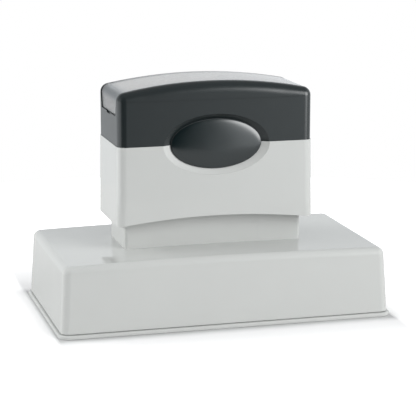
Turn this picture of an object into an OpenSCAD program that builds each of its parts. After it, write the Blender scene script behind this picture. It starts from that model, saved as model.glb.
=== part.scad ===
// Pre-inked hand stamp with a sprung handle, a wide skirted base and a snap-on dust cover.
// Millimetres. The origin is the middle of the resting face, X runs along the stamp, Z is up.

/* [Base] */
// Length of the skirt at its foot
base_len = 122; // [116:0.5:130]
// Depth of the skirt at its foot
base_depth = 67.7; // [66:0.1:76]
// Height of the skirt from its foot to the top edge at its ends
skirt_h = 23.7; // [22.5:0.1:25]
// How far each end leans in between foot and top
end_draw = 1.35; // [0.5:0.05:2]
// How far the front and the back lean in between foot and top
side_draw = 1; // [0.5:0.05:1.5]
// Rise of the top between its ends
base_crown = 0.8; // [0.2:0.1:1.5]
// Radius of the upright corners at the foot
base_corner_r = 3; // [1.5:0.1:4]
// Radius of the rolled top edge
base_edge_r = 2.5; // [1.5:0.1:3.5]
// Thickness of the skirt wall
skirt_wall = 2.2; // [1.6:0.1:2.6]
// Thickness of the base top at its ends
top_wall = 2.5; // [2:0.1:3]

/* [Dust cover] */
// How far the cover's rim stands out past the skirt
rim_out = 1; // [0.5:0.1:2]
// Height of the cover's rim
rim_h = 1.5; // [1.4:0.1:2]
// Thickness of the cover's floor
cover_floor = 1.2; // [0.8:0.1:1.3]
// Shadow gap between the rim and the skirt's foot
rim_gap = 0.3; // [0.2:0.05:0.5]
// How far the shadow gap reaches in under the skirt wall
gap_reach = 0.7; // [0.4:0.1:1]
// Height of the plug wall that enters the skirt
plug_h = 4.2; // [3:0.2:5]
// Thickness of the plug wall
plug_wall = 1.2; // [1:0.1:1.5]
// Gap between the plug wall and the skirt
plug_clear = 0.25; // [0.2:0.05:0.4]

/* [Handle] */
// Length of the handle at its foot
handle_len = 73.7; // [72:0.1:80]
// Depth of the handle at its foot
handle_depth = 34.9; // [34:0.1:40]
// Clear height between the base's top edge and the handle's lower corners
handle_gap = 9.8; // [9.5:0.1:14]
// Height of the grey shell, from its lower corners to the seam
shell_h = 28.9; // [27:0.1:34]
// How far each shell wall leans in between foot and seam
shell_draw = 0.37; // [0.1:0.01:0.5]
// Radius of the upright corners
handle_corner_r = 3.2; // [2:0.1:4]
// Rise of the arched lower edge
arch_rise = 2.7; // [1:0.1:3]
// Thickness of the shell wall
shell_wall = 2.4; // [2.2:0.1:2.6]
// Distance from the seam down to the inner deck
deck_drop = 5.2; // [4.5:0.1:6.5]
// Thickness of the inner deck
deck_t = 2.8; // [2.2:0.1:3.5]
// Thickness of the guide ribs
rib_t = 1.6; // [1.2:0.1:2]
// Sliding gap between the guide ribs and the neck
rib_clear = 0.3; // [0.2:0.05:0.5]
// Distance between the guide ribs along the front and back
rib_pitch = 17; // [12:0.5:18]
// Number of guide ribs along the front and along the back
rib_count = 4; // [2:1:4]
// Distance between the guide ribs on each end
end_rib_pitch = 12; // [8:0.5:16]

/* [Neck] */
// How far the neck's ends stand in from the handle's
neck_step_end = 3.5; // [3.2:0.1:5]
// How far the neck's front and back stand in from the handle's
neck_step_side = 5.2; // [4.5:0.1:5.6]
// Thickness of the neck wall
neck_wall = 2; // [1.6:0.1:2.2]
// Radius of the neck's upright corners
neck_corner_r = 1.2; // [0.8:0.1:1.5]
// Width of the shallow panel in the neck's front and back
panel_len = 34; // [28:0.5:40]
// Depth of the shallow panel
panel_deep = 0.1; // [0.1:0.05:0.4]

/* [Cap] */
// Height of the cap from the seam to its crown
cap_h = 22.6; // [21:0.1:28]
// Radius of the arched top
cap_arch_r = 175; // [150:1:260]
// Radius of the rolled top edge
cap_edge_r = 4; // [3:0.1:4.5]
// Radius of the end corners, seen from the front
cap_end_r = 3.2; // [2.8:0.1:4]
// How far the cap stands in from the shell at the seam
cap_step = 0.2; // [0:0.05:0.4]
// Thickness of the cap wall
cap_wall = 2.4; // [2.2:0.1:2.6]
// Gap between the cap's spigot and the shell
spigot_clear = 0.1; // [0.05:0.05:0.2]
// Thickness of the cap's spigot
spigot_wall = 1.4; // [1:0.1:1.6]
// Gap between the spigot's end and the deck
spigot_gap = 0.4; // [0.3:0.1:1]

/* [Index window] */
// Width of the clear window over the top
window_w = 26; // [22:0.2:26]
// Width of the window at its lower ends
window_foot_w = 22.8; // [19:0.2:23]
// Thickness of the window
window_t = 1.2; // [0.8:0.1:1.4]
// Height of the window's lower ends above the seam
window_foot_h = 11; // [9.5:0.1:12]
// Gap between the window and the cap
window_clear = 0.2; // [0.15:0.05:0.3]
// Thickness of the index card
card_t = 0.3; // [0.2:0.05:0.4]
// Length of the index card
card_len = 65; // [50:1:66]
// Width of the index card
card_w = 23; // [20:0.5:25]
// Width of the pry notch at each end
notch_w = 5.6; // [1.5:0.1:8]
// Height of the pry notch
notch_h = 0.6; // [0.5:0.1:1.2]

/* [Badge] */
// Length of the oval badge
badge_len = 34; // [28:0.5:36]
// Height of the oval badge
badge_h = 18.2; // [15:0.2:19]
// Thickness of the badge plate
badge_t = 0.5; // [0.3:0.1:0.6]
// Straight edge of the clear dome
dome_edge = 0.3; // [0.2:0.05:0.4]
// Rise of the clear dome
dome_rise = 1.1; // [0.6:0.1:1.6]
// How far the clear dome stands in from the plate's edge
dome_rim = 0.3; // [0.1:0.05:0.5]
// Depth of the dished recess round the badge
recess_deep = 1.7; // [1.3:0.1:1.8]
// How far the recess reaches out past the badge along the stamp
recess_end = 2.7; // [1.5:0.1:3.5]
// How far the recess reaches out above and below the badge
recess_side = 1.8; // [1:0.1:2.4]
// Gap between the badge and the recess floor's edge
badge_clear = 0.3; // [0.2:0.05:0.5]

/* [Printing unit] */
// Gap between the die and the die frame at each end
die_gap_end = 1.65; // [0.2:0.05:3]
// Gap between the die and the die frame at the front and the back
die_gap_side = 0.25; // [0.2:0.05:1]
// How far the die's flange stands out past the impression
die_flange = 1.2; // [0.8:0.1:1.4]
// Thickness of the die's flange
die_flange_t = 0.85; // [0.6:0.05:1]
// Thickness of the die below its flange
die_t = 1.7; // [1.4:0.1:2]
// Height of the raised printing face
relief_t = 0.8; // [0.5:0.1:1]
// Width of the raised border and bars
relief_w = 2.4; // [1.6:0.1:3]
// Number of raised bars inside the border
relief_rows = 5; // [3:1:6]
// Thickness of the ink pad
pad_t = 5; // [4.5:0.1:5.4]
// Thickness of the die plate
plate_t = 3; // [2.8:0.1:3.2]
// Wall of the die frame
frame_wall = 1.2; // [1:0.1:1.3]
// Gap between the die frame's lip and the die
lip_clear = 0.3; // [0.2:0.05:0.4]
// Gap between the die frame and the skirt
carriage_clear = 2.6; // [1.5:0.1:2.8]
// How far the die's face passes the skirt's foot when pressed
print_squeeze = 0.2; // [0:0.05:0.3]

/* [Stem] */
// Length of the stem's column
stem_len = 28; // [26:0.5:29]
// Depth of the stem's column
stem_depth = 17; // [15:0.5:18]
// Wall of the stem's column
stem_wall = 2; // [1.6:0.1:2.2]
// How far the stem's flange reaches out past the guide pins' middles
flange_reach = 5; // [4.5:0.1:6]
// Depth of the stem's flange
flange_depth = 20; // [19:0.5:22]
// Thickness of the stem's flange
flange_t = 3; // [2.8:0.1:3.2]
// Gap round the stem where it passes the base top
stem_clear = 0.3; // [0.2:0.05:0.5]
// Distance between the two ink channels
ink_pitch = 9; // [8.5:0.1:9.4]
// Diameter of the ink channels
ink_d = 4; // [3:0.1:4.4]
// Wall of the ink channels
ink_wall = 1.1; // [0.9:0.05:1.2]
// Distance between the stem screws
stem_screw_pitch = 21.6; // [21:0.1:22]
// Diameter of the stem screws
stem_screw_d = 2.8; // [2:0.1:3]
// Reach of the stem screws below the deck
stem_screw_reach = 7; // [5:0.5:9]
// Distance between the die plate screws along the stamp
plate_screw_x = 33; // [32:0.5:34]
// Distance between the die plate screws across the stamp
plate_screw_y = 14; // [11:0.5:14.5]
// Diameter of the die plate screws
plate_screw_d = 2.4; // [2:0.1:2.6]
// Reach of the die plate screws into the flange
plate_screw_reach = 2.2; // [1.5:0.1:2.6]

/* [Springs and guide pins] */
// Distance between the two guide pins
pin_pitch = 44; // [43:0.5:46]
// Diameter of the guide pins
pin_d = 5; // [4:0.1:5]
// Running gap round a guide pin in its bush
pin_clear = 0.05; // [0.03:0.01:0.1]
// Diameter of a guide pin's head
pin_head_d = 8; // [7:0.1:8.6]
// Height of a guide pin's head
pin_head_h = 1.6; // [1.2:0.1:2]
// Length of a guide pin above the deck
pin_end = 5; // [4.5:0.1:6]
// Diameter of the bush body
bush_d = 8.6; // [7.6:0.1:9.4]
// Diameter of the bush flange
bush_flange_d = 12; // [11:0.1:12.6]
// Thickness of the bush flange
bush_flange_t = 1.5; // [1:0.1:2]
// Gap round pressed-in and screwed-in pieces
seat_clear = 0.03; // [0.02:0.01:0.05]
// Width of the lock nuts across their flats
nut_flats = 8; // [7:0.1:9]
// Height of the lock nuts
nut_h = 4; // [3:0.1:4.4]
// Mean diameter of the return springs
spring_d = 9.6; // [9:0.1:10]
// Diameter of the spring wire
wire_d = 1; // [0.8:0.05:1.1]
// Number of coils in each spring
coils = 8; // [6:1:9]
// Length of the spring seat below the deck
spring_seat_h = 3; // [2:0.5:4]
// Gap between a spring and its seat
spring_clear = 0.5; // [0.3:0.1:0.6]

/* [Hidden] */
$fn = 64;
hull_fn = 32;
// Overlap that joins two features of one solid
bond = 0.2;
// Gap left at a flat stop
stop_gap = 0.05;
// Proportions of a pan-head screw to its diameter: head width, head height, slot length and slot width
head_share = 1.8;
head_high_share = 0.65;
slot_share = 1.2;
slot_wide_share = 0.25;

// Heights
skirt_z = rim_h + rim_gap;
base_top = skirt_z + skirt_h;
base_under = base_top - top_wall;
handle_z = base_top + handle_gap;
seam_z = handle_z + shell_h;
crown_z = seam_z + cap_h;
deck_top = seam_z - deck_drop;
deck_under = deck_top - deck_t;
flange_top = base_under - stop_gap;
plate_top = flange_top - flange_t;
plate_under = plate_top - plate_t;
pad_under = plate_under - pad_t;
die_flange_under = pad_under - die_flange_t;
die_under = die_flange_under - die_t;
print_z = die_under - relief_t;
press_travel = print_z - (skirt_z - print_squeeze);
neck_top = deck_under - press_travel - stop_gap;
window_z = seam_z + window_foot_h;

// Plan sizes
top_len = base_len - 2 * end_draw;
top_depth = base_depth - 2 * side_draw;
neck_len = handle_len - 2 * neck_step_end;
neck_depth = handle_depth - 2 * neck_step_side;
shell_top_len = handle_len - 2 * shell_draw;
shell_top_depth = handle_depth - 2 * shell_draw;
cap_len = shell_top_len - 2 * cap_step;
cap_depth = shell_top_depth - 2 * cap_step;
spigot_len = shell_top_len - 2 * (shell_wall + spigot_clear);
spigot_depth = shell_top_depth - 2 * (shell_wall + spigot_clear);
frame_len = top_len - 2 * (skirt_wall + carriage_clear);
frame_depth = top_depth - 2 * (skirt_wall + carriage_clear);
plate_len = frame_len - 2 * (frame_wall + seat_clear);
plate_depth = frame_depth - 2 * (frame_wall + seat_clear);
die_len = frame_len - 2 * (frame_wall + die_gap_end);
die_depth = frame_depth - 2 * (frame_wall + die_gap_side);
print_len = die_len - 2 * die_flange;
print_depth = die_depth - 2 * die_flange;
flange_len = pin_pitch + 2 * flange_reach;
plug_lean = plug_h / skirt_h;
plug_len = base_len - 2 * (skirt_wall + end_draw * plug_lean + plug_clear);
plug_depth = base_depth - 2 * (skirt_wall + side_draw * plug_lean + plug_clear);

// The cap's end arcs touch the arched top where the angle from its middle is cap_turn
cap_arc_x = cap_len / 2 - cap_end_r;
cap_mid_z = crown_z - cap_arch_r;
cap_turn = asin(cap_arc_x / (cap_arch_r - cap_end_r));
cap_arc_z = cap_mid_z + (cap_arch_r - cap_end_r) * cos(cap_turn);
least_arc_r = 0.4;
arch_steps = 12;
arc_steps = 8;
oval_steps = 64;
well_floor = window_t + card_t + window_clear / 2;

// Springs
spring_low = base_top + bush_flange_t;
spring_len = deck_under - spring_low;
spring_pitch = (spring_len - wire_d) / coils;
wire_sides = 6;
rings_per_coil = 8;
rings = coils * rings_per_coil;

// Helper shapes

// A rectangle with round corners, centred
module round_rect(len, depth, r) {
    square([len - 2 * r, depth], center = true);
    square([len, depth - 2 * r], center = true);
    for (x = [-1, 1], y = [-1, 1])
        translate([x * (len / 2 - r), y * (depth / 2 - r)]) circle(r = r);
}

// A box with round upright corners that leans in from one plan size to another
module leaning_box(len, depth, top_l, top_d, r, low, high) {
    slice = 0.01;
    hull() {
        for (x = [-1, 1], y = [-1, 1]) {
            translate([x * (len / 2 - r), y * (depth / 2 - r), low])
                cylinder(r = r, h = slice, $fn = hull_fn);
            translate([x * (top_l / 2 - r), y * (top_d / 2 - r), high - slice])
                cylinder(r = r, h = slice, $fn = hull_fn);
        }
    }
}

module at_pins() {
    for (x = [-1, 1]) translate([x * pin_pitch / 2, 0, 0]) children();
}

module at_ink() {
    for (x = [-1, 1]) translate([x * ink_pitch / 2, 0, 0]) children();
}

module at_stem_screws() {
    for (x = [-1, 1]) translate([x * stem_screw_pitch / 2, 0, 0]) children();
}

module at_plate_screws() {
    for (x = [-1, 1], y = [-1, 1])
        translate([x * plate_screw_x / 2, y * plate_screw_y / 2, 0]) children();
}

// Points of the cap's side outline, set in by a distance, down to a height
function cap_outline(inset, low) =
    let (
        r = max(cap_end_r - inset, least_arc_r),
        x = cap_len / 2 - inset - r,
        reach = cap_arch_r - inset - r,
        turn = asin(x / reach),
        z = cap_mid_z + reach * cos(turn)
    )
    concat(
        [[-x - r, low]],
        [for (i = [0:arc_steps])
            let (a = 180 - i * (90 - turn) / arc_steps)
            [-x + r * cos(a), z + r * sin(a)]],
        [for (i = [1:arch_steps - 1])
            let (a = 90 + turn - i * 2 * turn / arch_steps)
            [(cap_arch_r - inset) * cos(a), cap_mid_z + (cap_arch_r - inset) * sin(a)]],
        [for (i = [0:arc_steps])
            let (a = 90 - turn - i * (90 - turn) / arc_steps)
            [x + r * cos(a), z + r * sin(a)]],
        [[x + r, low]]
    );

// The outline as a block across the stamp
module cap_block(inset, low, depth) {
    rotate([90, 0, 0]) linear_extrude(depth, center = true) polygon(cap_outline(inset, low));
}

// The window's band seen from the end: straight over the top, narrowing down the ends
module window_band(gap) {
    top = window_w / 2 + gap;
    foot = window_foot_w / 2 + gap;
    past = crown_z + bond;
    rotate([90, 0, 90]) linear_extrude(cap_len + 2 * bond, center = true)
        polygon([[-foot, window_z - gap], [foot, window_z - gap], [top, cap_arc_z],
            [top, past], [-top, past], [-top, cap_arc_z]]);
}

// Points of an oval
function oval(len, high) = [for (i = [0:oval_steps - 1])
    let (a = i * 360 / oval_steps)
    [len / 2 * cos(a), high / 2 * sin(a)]];

// Places a shape drawn flat on the front of the handle, with its depth running into it
module on_front(deep) {
    translate([0, -shell_top_depth / 2 + deep, seam_z]) rotate([90, 0, 0]) children();
}

// The dished oval recess that cap and shell share
module badge_recess() {
    floor_len = badge_len + 2 * badge_clear;
    floor_h = badge_h + 2 * badge_clear;
    mouth_len = badge_len + 2 * recess_end;
    mouth_h = badge_h + 2 * recess_side;
    past = 1 + bond / recess_deep;
    grow_len = 1 + (mouth_len / floor_len - 1) * past;
    grow_h = 1 + (mouth_h / floor_h - 1) * past;
    on_front(recess_deep) linear_extrude(recess_deep * past, scale = [grow_len, grow_h], slices = 1)
        polygon(oval(floor_len, floor_h));
}

// Sub-parts

module dust_cover() {
    rim_r = base_corner_r + rim_out;
    color("gainsboro") difference() {
        union() {
            linear_extrude(rim_h)
                round_rect(base_len + 2 * rim_out, base_depth + 2 * rim_out, rim_r);
            linear_extrude(skirt_z)
                round_rect(base_len - 2 * gap_reach, base_depth - 2 * gap_reach, base_corner_r);
            linear_extrude(skirt_z + plug_h) round_rect(plug_len, plug_depth, base_corner_r);
        }
        translate([0, 0, cover_floor]) linear_extrude(skirt_z + plug_h)
            round_rect(plug_len - 2 * plug_wall, plug_depth - 2 * plug_wall, base_corner_r - plug_wall / 2);
    }
}

// The skirt's outside, with a rolled and slightly crowned top
module skirt_form() {
    slice = 0.01;
    halves = 4;
    hull() {
        for (x = [-1, 1], y = [-1, 1])
            translate([x * (base_len / 2 - base_corner_r), y * (base_depth / 2 - base_corner_r), skirt_z])
                cylinder(r = base_corner_r, h = slice, $fn = hull_fn);
        for (i = [-halves:halves], y = [-1, 1]) {
            along = i / halves;
            translate([
                along * (top_len / 2 - base_edge_r),
                y * (top_depth / 2 - base_edge_r),
                base_top - base_edge_r + base_crown * (1 - along * along)
            ]) sphere(r = base_edge_r, $fn = hull_fn);
        }
    }
}

module skirt_hollow() {
    leaning_box(
        base_len - 2 * skirt_wall + 2 * end_draw * bond / skirt_h,
        base_depth - 2 * skirt_wall + 2 * side_draw * bond / skirt_h,
        top_len - 2 * skirt_wall, top_depth - 2 * skirt_wall,
        base_edge_r / 2, skirt_z - bond, base_under
    );
}

module neck_panel() {
    for (y = [-1, 1])
        translate([0, y * neck_depth / 2, (base_top + neck_top) / 2 + base_crown])
            cube([panel_len, 2 * panel_deep, neck_top - base_top], center = true);
}

module base_skirt() {
    color("lightgray") difference() {
        union() {
            skirt_form();
            translate([0, 0, base_under]) linear_extrude(neck_top - base_under)
                round_rect(neck_len, neck_depth, neck_corner_r);
        }
        skirt_hollow();
        translate([0, 0, base_top]) linear_extrude(neck_top)
            square([neck_len - 2 * neck_wall, neck_depth - 2 * neck_wall], center = true);
        translate([0, 0, base_under - bond]) linear_extrude(top_wall + 2 * bond)
            square([stem_len + 2 * stem_clear, stem_depth + 2 * stem_clear], center = true);
        translate([0, 0, base_under - bond]) at_pins()
            cylinder(d = bush_d + 2 * seat_clear, h = top_wall + 2 * bond);
        neck_panel();
    }
}

module guide_bush(side) {
    translate([side * pin_pitch / 2, 0, 0]) color("dimgray") difference() {
        union() {
            translate([0, 0, base_under + stop_gap]) cylinder(d = bush_d, h = top_wall);
            translate([0, 0, base_top]) cylinder(d = bush_flange_d, h = bush_flange_t);
        }
        translate([0, 0, base_under])
            cylinder(d = pin_d + 2 * pin_clear, h = top_wall + bush_flange_t + bond);
    }
}

// Ribs inside the shell that slide along the neck
module guide_ribs() {
    low = handle_z + arch_rise + rib_t;
    high = deck_under + bond;
    reach_y = (handle_depth - shell_wall) / 2 - neck_depth / 2 - rib_clear;
    reach_x = (handle_len - shell_wall) / 2 - neck_len / 2 - rib_clear;
    mid = (low + high) / 2;
    for (i = [0:rib_count - 1], y = [-1, 1]) {
        x = (i - (rib_count - 1) / 2) * rib_pitch;
        translate([x, y * (neck_depth / 2 + rib_clear + reach_y / 2), mid])
            cube([rib_t, reach_y, high - low], center = true);
    }
    for (x = [-1, 1], y = [-0.5, 0.5])
        translate([x * (neck_len / 2 + rib_clear + reach_x / 2), y * end_rib_pitch, mid])
            cube([reach_x, rib_t, high - low], center = true);
}

module deck() {
    difference() {
        union() {
            translate([0, 0, deck_under]) linear_extrude(deck_t)
                square([handle_len - 1.5 * shell_wall, handle_depth - 1.5 * shell_wall], center = true);
            translate([0, 0, deck_under - spring_seat_h]) at_pins()
                cylinder(d = spring_d - wire_d - 2 * spring_clear, h = spring_seat_h + bond);
        }
        translate([0, 0, deck_under - spring_seat_h - bond]) at_pins()
            cylinder(d = pin_d + 2 * seat_clear, h = deck_t + spring_seat_h + 2 * bond);
        translate([0, 0, deck_under - bond]) at_ink() cylinder(d = ink_d, h = deck_t + 2 * bond);
        translate([0, 0, deck_under - bond]) at_stem_screws()
            cylinder(d = stem_screw_d + 2 * seat_clear, h = deck_t + 2 * bond);
    }
}

module handle_shell() {
    arch_r = handle_len * handle_len / (8 * arch_rise) + arch_rise / 2;
    in_len = handle_len - 2 * shell_wall;
    in_depth = handle_depth - 2 * shell_wall;
    color("lightgray") difference() {
        union() {
            difference() {
                leaning_box(handle_len, handle_depth, shell_top_len, shell_top_depth,
                    handle_corner_r, handle_z, seam_z);
                leaning_box(in_len, in_depth, in_len - 2 * shell_draw, in_depth - 2 * shell_draw,
                    handle_corner_r / 2, handle_z - bond, seam_z + bond);
            }
            guide_ribs();
            deck();
        }
        translate([0, 0, handle_z + arch_rise - arch_r]) rotate([90, 0, 0])
            cylinder(r = arch_r, h = handle_depth + 2 * bond, center = true, $fn = 256);
        badge_recess();
    }
}

// The cap's outside: an arched top rolled into all four sides
module cap_form() {
    slice = 0.01;
    hull() {
        for (x = [-1, 1], y = [-1, 1])
            translate([x * (cap_len / 2 - handle_corner_r), y * (cap_depth / 2 - handle_corner_r), seam_z])
                cylinder(r = handle_corner_r, h = slice, $fn = hull_fn);
        for (i = [0:arch_steps], y = [-1, 1]) {
            a = 90 - cap_turn + i * 2 * cap_turn / arch_steps;
            r = i == 0 || i == arch_steps ? cap_end_r : cap_edge_r;
            translate([
                (cap_arch_r - r) * cos(a),
                y * (cap_depth / 2 - cap_edge_r),
                cap_mid_z + (cap_arch_r - r) * sin(a)
            ]) scale([r / cap_edge_r, 1, r / cap_edge_r]) sphere(r = cap_edge_r, $fn = hull_fn);
        }
    }
}

module top_cap() {
    spigot_z = deck_top + spigot_gap;
    in_len = spigot_len - 2 * spigot_wall;
    in_depth = spigot_depth - 2 * spigot_wall;
    roof = well_floor + cap_wall;
    color("#3a3d3d") difference() {
        union() {
            difference() {
                cap_form();
                cap_block(roof, seam_z + cap_wall, cap_depth - 2 * cap_wall);
            }
            translate([0, 0, spigot_z]) linear_extrude(seam_z + cap_wall + bond - spigot_z)
                round_rect(spigot_len, spigot_depth, handle_corner_r / 2);
            translate([0, 0, deck_top + stop_gap]) at_ink()
                cylinder(d = ink_d + 2 * ink_wall, h = crown_z - roof - deck_top);
        }
        difference() {
            translate([0, 0, spigot_z - bond]) linear_extrude(seam_z + cap_wall + 2 * bond - spigot_z)
                square([in_len, in_depth], center = true);
            at_ink() cylinder(d = ink_d + 2 * ink_wall, h = crown_z);
        }
        intersection() {
            difference() {
                cap_block(-bond, seam_z, cap_depth);
                cap_block(well_floor, seam_z - bond, cap_depth + bond);
            }
            window_band(window_clear);
        }
        translate([0, 0, deck_top]) at_ink() cylinder(d = ink_d, h = cap_h + deck_drop);
        for (x = [-1, 1])
            translate([x * cap_len / 2, 0, window_z - window_clear])
                cube([2 * window_t, notch_w, 2 * notch_h], center = true);
        badge_recess();
    }
}

module index_card() {
    color("white") intersection() {
        difference() {
            cap_block(well_floor - card_t, seam_z, card_w);
            cap_block(well_floor, seam_z - bond, card_w + bond);
        }
        translate([0, 0, crown_z]) cube([card_len, card_w, cap_h], center = true);
    }
}

module index_window() {
    color("#c8ccccb0") intersection() {
        difference() {
            cap_block(0, seam_z, cap_depth);
            cap_block(window_t, seam_z - bond, cap_depth + bond);
        }
        window_band(0);
    }
}

module badge_plate() {
    color("black") on_front(recess_deep) linear_extrude(badge_t) polygon(oval(badge_len, badge_h));
}

// A clear oval dome with a short straight edge, drawn over ovals that shrink towards its crown
module badge_dome() {
    slice = 0.01;
    steps = 6;
    dome_len = badge_len - 2 * dome_rim;
    dome_h = badge_h - 2 * dome_rim;
    color("#202222c0") on_front(recess_deep - badge_t) hull() {
        linear_extrude(dome_edge) polygon(oval(dome_len, dome_h));
        for (i = [1:steps]) {
            a = 90 * i / (steps + 1);
            translate([0, 0, dome_edge + dome_rise * sin(a) - slice]) linear_extrude(slice)
                polygon(oval(dome_len * cos(a), dome_h * cos(a)));
        }
    }
}

module stem() {
    roof = deck_under - stem_wall;
    boss_d = stem_screw_d + 2 * ink_wall;
    color("gainsboro") difference() {
        union() {
            translate([0, 0, plate_top]) linear_extrude(flange_t)
                square([flange_len, flange_depth], center = true);
            translate([0, 0, plate_top]) linear_extrude(deck_under - plate_top)
                square([stem_len, stem_depth], center = true);
        }
        difference() {
            translate([0, 0, plate_top - bond]) linear_extrude(roof - plate_top + bond)
                square([stem_len - 2 * stem_wall, stem_depth - 2 * stem_wall], center = true);
            at_ink() cylinder(d = ink_d + 2 * ink_wall, h = deck_under);
            translate([0, 0, deck_under - stem_screw_reach - stem_wall]) at_stem_screws()
                cylinder(d = boss_d, h = stem_screw_reach + stem_wall);
            translate([0, 0, deck_under / 2]) cube([stem_len, stem_wall / 2, deck_under], center = true);
        }
        translate([0, 0, plate_top - bond]) at_ink() cylinder(d = ink_d, h = deck_under);
        translate([0, 0, deck_under - stem_screw_reach - stop_gap]) at_stem_screws()
            cylinder(d = stem_screw_d + 2 * seat_clear, h = stem_screw_reach + bond);
        translate([0, 0, plate_top - bond]) at_pins()
            cylinder(d = pin_d + 2 * seat_clear, h = flange_t + 2 * bond);
        translate([0, 0, plate_top - bond]) at_plate_screws()
            cylinder(d = plate_screw_d + 2 * seat_clear, h = plate_screw_reach + bond + stop_gap);
    }
}

// A pan-head screw pointing down from the height of its seat
module screw_down(d, reach) {
    head_h = d * head_high_share;
    difference() {
        union() {
            translate([0, 0, -reach]) cylinder(d = d, h = reach + bond);
            cylinder(d = d * head_share, h = head_h);
        }
        for (turn = [0, 90])
            translate([0, 0, head_h]) rotate([0, 0, turn])
                cube([d * slot_share, d * slot_wide_share, head_h], center = true);
    }
}

module stem_screws() {
    color("silver") translate([0, 0, deck_top]) at_stem_screws()
        screw_down(stem_screw_d, deck_t + stem_screw_reach - stop_gap);
}

module die_plate() {
    head_h = plate_screw_d * head_high_share + stop_gap;
    color("whitesmoke") difference() {
        translate([0, 0, plate_under]) linear_extrude(plate_t)
            square([plate_len, plate_depth], center = true);
        translate([0, 0, plate_under - bond]) {
            at_ink() cylinder(d = ink_d, h = plate_t + 2 * bond);
            at_pins() cylinder(d = pin_d + 2 * seat_clear, h = plate_t + 2 * bond);
            at_pins() cylinder(d = pin_head_d + 2 * seat_clear, h = pin_head_h + bond + stop_gap);
            at_plate_screws() cylinder(d = plate_screw_d + 2 * seat_clear, h = plate_t + 2 * bond);
            at_plate_screws() cylinder(d = plate_screw_d * head_share + 2 * seat_clear, h = head_h + bond);
        }
    }
}

module die_plate_screws() {
    seat = plate_under + plate_screw_d * head_high_share + stop_gap;
    color("silver") translate([0, 0, seat]) at_plate_screws() mirror([0, 0, 1])
        screw_down(plate_screw_d, plate_top + plate_screw_reach - seat);
}

module ink_pad() {
    color("royalblue") translate([0, 0, pad_under]) linear_extrude(pad_t)
        square([die_len, die_depth], center = true);
}

// The porous die: a flanged sheet with a raised border and bars
module stamp_die() {
    in_len = print_len - 4 * relief_w;
    in_depth = print_depth - 4 * relief_w;
    row_pitch = in_depth / relief_rows;
    color("slateblue") union() {
        translate([0, 0, die_flange_under]) linear_extrude(die_flange_t)
            square([die_len, die_depth], center = true);
        translate([0, 0, die_under]) linear_extrude(die_t + bond)
            square([print_len, print_depth], center = true);
        translate([0, 0, print_z]) linear_extrude(relief_t + bond) {
            difference() {
                square([print_len, print_depth], center = true);
                square([print_len - 2 * relief_w, print_depth - 2 * relief_w], center = true);
            }
            for (i = [0:relief_rows - 1])
                translate([0, -in_depth / 2 + (i + 0.5) * row_pitch])
                    square([in_len * (i % 2 == 0 ? 1 : 0.7), relief_w], center = true);
        }
    }
}

// A frame that clips round the die plate and holds the die by its flange
module die_frame() {
    lip_top = die_flange_under - stop_gap;
    low = die_under + stop_gap;
    color("dimgray") difference() {
        translate([0, 0, low]) linear_extrude(plate_top - low)
            square([frame_len, frame_depth], center = true);
        translate([0, 0, lip_top]) linear_extrude(plate_top)
            square([plate_len + 2 * seat_clear, plate_depth + 2 * seat_clear], center = true);
        translate([0, 0, low - bond]) linear_extrude(plate_top)
            square([print_len + 2 * lip_clear, print_depth + 2 * lip_clear], center = true);
    }
}

module guide_pin(side) {
    translate([side * pin_pitch / 2, 0, plate_under]) color("silver") {
        cylinder(d = pin_head_d, h = pin_head_h);
        cylinder(d = pin_d, h = deck_top + pin_end - plate_under);
    }
}

module lock_nut(side) {
    translate([side * pin_pitch / 2, 0, deck_top]) color("goldenrod") difference() {
        cylinder(d = nut_flats / cos(30), h = nut_h, $fn = 6);
        translate([0, 0, -bond]) cylinder(d = pin_d + 2 * seat_clear, h = nut_h + 2 * bond);
    }
}

// Ring of the spring wire after a share of its turns
function wire_ring(i) =
    let (
        turn = i * 360 / rings_per_coil,
        lean = atan(spring_pitch / (PI * spring_d)),
        z = wire_d / 2 + i * spring_pitch / rings_per_coil
    )
    [for (j = [0:wire_sides - 1])
        let (
            a = j * 360 / wire_sides,
            out = spring_d / 2 + wire_d / 2 * cos(a),
            along = -wire_d / 2 * sin(a) * sin(lean)
        )
        [out * cos(turn) - along * sin(turn), out * sin(turn) + along * cos(turn),
            z + wire_d / 2 * sin(a) * cos(lean)]];

module return_spring(side) {
    points = [for (i = [0:rings]) each wire_ring(i)];
    function at(i, j) = i * wire_sides + j % wire_sides;
    walls = [for (i = [0:rings - 1], j = [0:wire_sides - 1])
        each [[at(i, j), at(i + 1, j), at(i + 1, j + 1)], [at(i, j), at(i + 1, j + 1), at(i, j + 1)]]];
    caps = [for (j = [1:wire_sides - 2])
        each [[at(0, 0), at(0, j), at(0, j + 1)], [at(rings, 0), at(rings, j + 1), at(rings, j)]]];
    translate([side * pin_pitch / 2, 0, spring_low]) color("silver")
        polyhedron(points = points, faces = concat(walls, caps));
}

// Least gap between neighbouring coils, from the centre lines of facing points
coil_gap = min([for (i = [0:rings - rings_per_coil])
    norm(wire_ring(i + rings_per_coil)[0] - wire_ring(i)[0])]) - wire_d;
echo(coil_gap = coil_gap);
echo(press_travel = press_travel);

dust_cover();
base_skirt();
guide_bush(-1);  // guide_bush_left
guide_bush(1);  // guide_bush_right
handle_shell();
top_cap();
index_card();
index_window();
badge_plate();
badge_dome();
stem();
stem_screws();
die_plate();
die_plate_screws();
ink_pad();
stamp_die();
die_frame();
guide_pin(-1);  // guide_pin_left
guide_pin(1);  // guide_pin_right
lock_nut(-1);  // lock_nut_left
lock_nut(1);  // lock_nut_right
return_spring(-1);  // return_spring_left
return_spring(1);  // return_spring_right
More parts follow.
